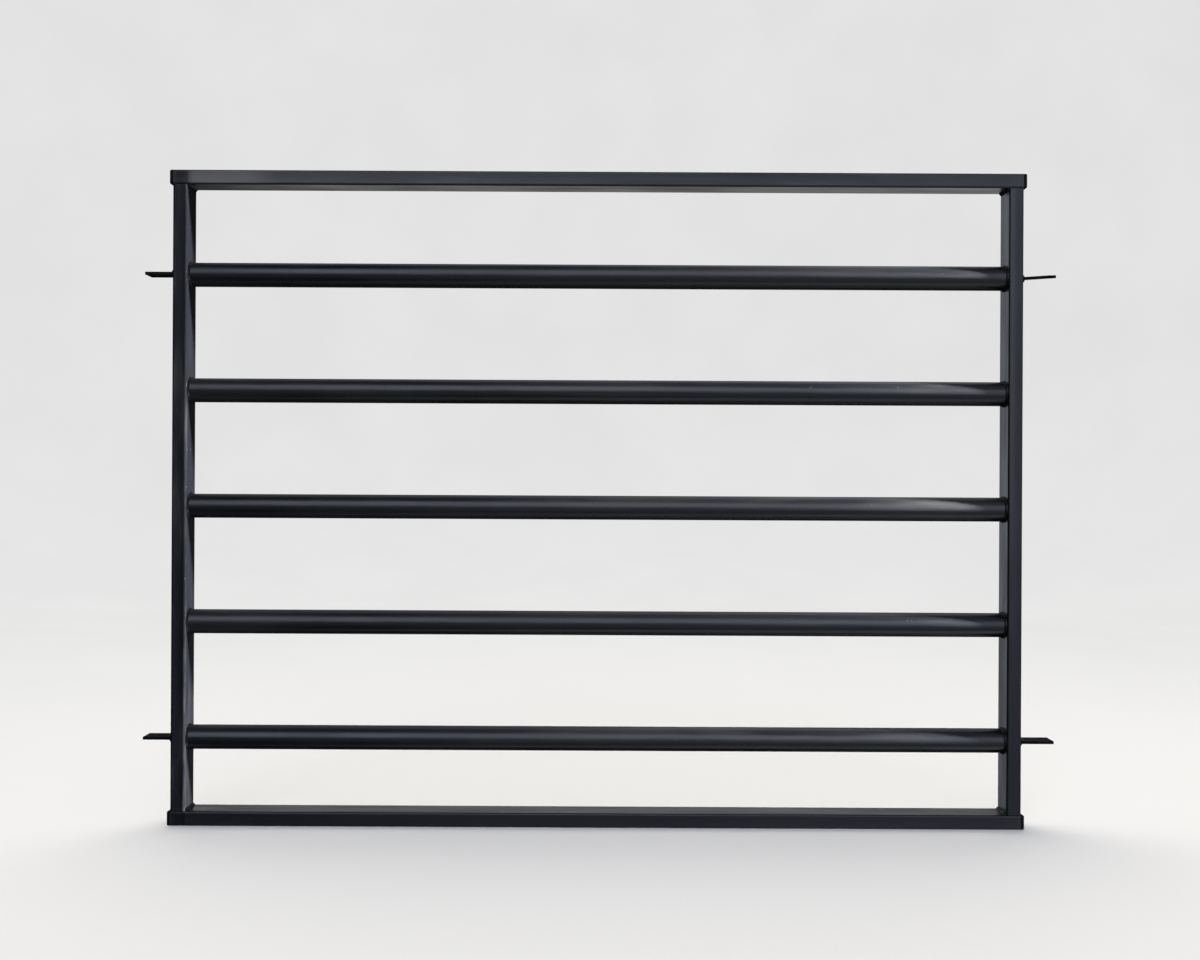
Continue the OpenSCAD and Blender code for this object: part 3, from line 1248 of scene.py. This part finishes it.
@dataclass
class Studio:
    """The pale floor and sweep, the soft light and the camera."""

    floor_z: float
    pale: Tone = tone(0.74, 0.74, 0.735)
    near: Tone = tone(0.75, 0.738, 0.71)
    dim: Tone = tone(0.06, 0.06, 0.058)
    pool: Span = (0.55, 2.1)
    floor_glow: float = 0.12
    wall_glow: float = 1.02
    lens: float = 37.36
    camera_place: Triple = (0.0030, -1.2947, 0.0203)
    camera_roll: float = math.radians(-0.284)
    lobes: tuple[Lobe, ...] = (
        Lobe((-0.12, -0.85, 0.53), 32.0, (0.92, 1.0, 1.22), 1.85),
        Lobe((0.45, -0.85, 0.17), 26.0, (0.92, 1.0, 1.25), 1.1),
        Lobe((0.12, -0.95, -0.25), 30.0, (0.92, 1.0, 1.25), 0.28),
        Lobe((0.50, -0.60, -0.60), 46.0, (0.90, 1.0, 1.25), 0.2),
        Lobe((0.33, -0.15, -0.93), 40.0, (0.96, 1.0, 1.12), 0.55),
        Lobe((0.55, 0.10, 0.83), 55.0, (0.92, 1.0, 1.22), 0.3),
        Lobe((0.10, 0.55, 0.82), 45.0, (0.98, 0.98, 1.08), 0.35),
    )
    haze: Triple = (0.03, 0.032, 0.038)
    flat_radius: float = 2.4
    bend_radius: float = 1.0
    wall_heights: Span = (2.2, 4.2)
    sides: int = 96
    wash: Sun = Sun("wash", (0.94, -0.085, 0.31), 42.0, 3.5)
    side_card: Sun = Sun("side_card", (-0.44, 1.0, 0.0), 0.225, 40.0, (0.95, 1.0, 1.12))
    low_card: Sun = Sun("low_card", (0.18, 1.0, -0.24), 0.31, 52.0)
    high_card: Sun = Sun("high_card", (0.15, 1.0, 0.25), 0.28, 56.0)
    back_card: Sun = Sun("back_card", (0.70, 0.66, -0.20), 0.26, 36.0, (0.92, 1.0, 1.15))
    left_card: Sun = Sun("left_card", (-0.66, 0.62, 0.42), 0.30, 36.0, (0.92, 1.0, 1.15))
    end_card: Sun = Sun("end_card", (0.93, 0.22, 0.16), 0.42, 60.0, (0.92, 1.0, 1.15))
    fill: Sun = Sun("floor_fill", (-0.20, 0.6, 1.0), 3.6, 70.0, (1.0, 0.965, 0.88))
    spark_reach: Triple = (0.20, 0.0182, 0.125)
    spark_fall: float = 0.010
    spark_power: float = 135.0
    spark_size: float = 6.0 * MM

    def sweep(self) -> bpy.types.Object:
        """The floor and the wall round it as one surface of revolution.

        Its outline runs flat from the middle to the bend, up a quarter circle and on straight up. Only the
        camera sees it, so the paint mirrors the studio's light and not the floor.

        Returns:
            The sweep, marked as stage.
        """
        turn = np.linspace(0.0, math.pi / 2, 25)[1:]
        wall = self.flat_radius + self.bend_radius
        flat = [0.05, 0.6, 1.2, self.flat_radius]
        radius = np.concatenate([flat, self.flat_radius + self.bend_radius * np.sin(turn), [wall, wall]])
        height = np.concatenate([np.zeros(4), self.bend_radius * (1 - np.cos(turn)), self.wall_heights])
        angle = np.arange(self.sides) * 2 * math.pi / self.sides
        x, y = radius[:, None] * np.cos(angle), radius[:, None] * np.sin(angle)
        shell = Shell(ring_points(x, y, height[:, None] + self.floor_z), False)
        mesh = bpy.data.meshes.new("studio_sweep")
        middle_fan = shell.fans()[: self.sides]
        mesh.from_pydata(shell.points()[:-1].tolist(), [], shell.quads().tolist() + middle_fan.tolist())
        mesh.shade_smooth()
        mesh.materials.append(self.sweep_finish())
        sweep = bpy.data.objects.new("studio_sweep", mesh)
        bpy.context.scene.collection.objects.link(sweep)
        sweep.visible_glossy = False
        sweep.visible_diffuse = False
        sweep.visible_shadow = False
        sweep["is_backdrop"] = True
        return sweep

    def sweep_finish(self) -> bpy.types.Material:
        """Matt pale board with a faint mottle.

        Away from the grille it fades from taking the lamps' light to an even glow of its own, by the
        distance from the upright axis, so that no horizon shows.

        Returns:
            The board's material.
        """
        material, graph, place = new_finish("pale_board")
        mottle = graph.ramp(graph.noise(place, 3.0, 5.0), (0.3, 0.7), (0.0, 1.0))
        colour = graph.mix(mottle, self.pale, tone(*(0.97 * part for part in self.pale[:3])))
        level = graph.add("VectorMath", {0: place, 1: (1.0, 1.0, 0.0)}, operation="MULTIPLY")
        away = graph.add("VectorMath", {0: level.outputs["Vector"]}, operation="LENGTH").outputs["Value"]
        glow = graph.ramp(away, self.pool, (self.floor_glow, self.wall_glow))
        matt = graph.mix(graph.ramp(away, self.pool, (0.0, 1.0)), self.near, self.dim)
        board = graph.add("BsdfDiffuse", {"Color": matt, "Roughness": 0.5})
        light = graph.add("Emission", {"Color": colour, "Strength": glow})
        both = graph.add("AddShader", {0: board.outputs[0], 1: light.outputs[0]})
        graph.add("OutputMaterial", {"Surface": both.outputs[0]})
        return material

    def sky(self) -> None:
        """The light round the studio: a dim haze and a few soft lobes.

        Each lobe is full at its middle and gone by its reach, by the cosine between its direction and the
        ray's.
        """
        world = bpy.data.worlds.new("studio_sky")
        bpy.context.scene.world = world
        world.use_nodes = True
        graph = Graph(world.node_tree)
        ray = graph.add("TexCoord").outputs["Generated"]
        total: object = self.haze
        for lobe in self.lobes:
            way = tuple(Vector(lobe.towards).normalized())
            facing = graph.add("VectorMath", {0: ray, 1: way}, operation="DOT_PRODUCT").outputs["Value"]
            level = graph.ramp(facing, (math.cos(math.radians(lobe.reach)), 1.0), (0.0, lobe.strength))
            tinted = graph.add("VectorMath", {0: lobe.colour, "Scale": level}, operation="SCALE")
            both = {0: total, 1: tinted.outputs["Vector"]}
            total = graph.add("VectorMath", both, operation="ADD").outputs["Vector"]
        light = graph.add("Background", {"Color": total, "Strength": 1.0})
        graph.add("OutputWorld", {"Surface": light.outputs[0]})

    def lamps(self, pieces: list[bpy.types.Object]) -> None:
        """The lamps that stand in for cards and small lights, each flagged off all but what it is for.

        A raking light from the right washes the left stile's inner face, where the rails and bars throw
        their shadows. A card behind on the left shows in the right stile's inner face, a low one behind in
        the top rail's underside and a high one behind in the bottom rail's and bottom lugs' top sides. Two
        more, far to each side behind, show in every piece from the back and from above, and one at the right
        end in the outer faces there. A wide light behind falls on the floor.

        Args:
            pieces: The grille's pieces.
        """
        named = {piece.name: piece for piece in pieces}
        self.wash.hang([named["left_stile_tube"]]).visible_glossy = False
        self.side_card.hang([named["right_stile_tube"]])
        self.low_card.hang([named["top_rail_tube"]])
        low_pieces = ("bottom_rail_tube", "lug_bottom_left_strip", "lug_bottom_right_strip")
        self.high_card.hang([named[name] for name in low_pieces])
        self.back_card.hang(pieces)
        self.left_card.hang(pieces)
        self.end_card.hang([piece for piece in pieces if "right" in piece.name])
        self.fill.hang([bpy.data.objects["studio_sweep"]])
        for number in BAR_NUMBERS:
            self.spark(named[f"bar_{number}_tube"])

    def spark(self, bar: bpy.types.Object) -> None:
        """Hangs a small lamp outside the right stile that lights one bar's end.

        The stile's front edge throws a curved shadow on the bar. The lower the bar, the nearer the lamp is to
        the stile's front plane, so the longer the shadow.

        Args:
            bar: The bar.
        """
        low, high = np.array(bar.bound_box).min(0), np.array(bar.bound_box).max(0)
        height = (low[2] + high[2]) / 2
        drop = max(0.0, box_of("bar_1")[1][2] - height)
        stile_front = box_of("right_stile")[0][1]
        lamp = bpy.data.lights.new(bar.name + "_spark", "POINT")
        lamp.energy, lamp.shadow_soft_size = self.spark_power, self.spark_size
        holder = bpy.data.objects.new(bar.name + "_spark", lamp)
        out, front, up = self.spark_reach
        holder.location = (high[0] + out, stile_front - front + self.spark_fall * drop, height + up)
        bpy.context.scene.collection.objects.link(holder)
        flag_off(holder, [bar])

    def camera(self) -> None:
        """A camera in front of the grille, level and square to it but for a slight roll."""
        data = bpy.data.cameras.new("camera")
        data.lens = self.lens
        data.sensor_width = 36.0
        data.clip_start, data.clip_end = 0.05, 50.0
        camera = bpy.data.objects.new("camera", data)
        camera.location = self.camera_place
        camera.rotation_euler = (math.pi / 2, self.camera_roll, 0.0)
        bpy.context.scene.collection.objects.link(camera)
        bpy.context.scene.camera = camera

    def build(self, pieces: list[bpy.types.Object]) -> None:
        """Sets up the whole studio round the pieces."""
        bpy.context.scene.view_settings.view_transform = "Standard"
        self.camera()
        self.sweep()
        self.sky()
        self.lamps(pieces)
        log.info("studio: floor at %.4f m", self.floor_z)


def main() -> None:
    """Builds the grille round the frame, then the studio."""
    logging.basicConfig(level=logging.INFO, format="%(name)s: %(message)s")
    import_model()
    frame_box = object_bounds()
    wear = Wardrobe()
    pieces: list[bpy.types.Object] = []
    for level in Level:
        # The top rail carries a painted highlight on its front.
        rail = BoxTube(f"{level.word}_rail", upright=False, painted_highlight=1.0 if level is Level.TOP else 0.0)
        pieces.append(rail.build(wear.rail))
        rail.touch_up(pieces[-1], wear.touched)
    for side in Side:
        # The right stile carries a weaker painted highlight on its front.
        stile = BoxTube(f"{side.word}_stile", upright=True, painted_highlight=0.4 if side is Side.RIGHT else 0.0)
        pieces.append(stile.build(wear.stile[side]))
    for number in BAR_NUMBERS:
        pieces.append(RoundBar(number).build(wear.bar))
        for side in Side:
            pieces.append(RingBead(number, side).build(wear.weld))
    for level in Level:
        for side in Side:
            pieces.append(CornerBead(level, side).build(wear.weld))
            pieces.append(EndCap(level, side).build(wear.cap))
            pieces += AnchorLug(level, side).build(wear.lug, wear.weld)
    Studio(floor_z=float(frame_box[0][2])).build(pieces)
    log.info("pieces: %d", len(pieces))


if __name__ == "__main__":
    main()
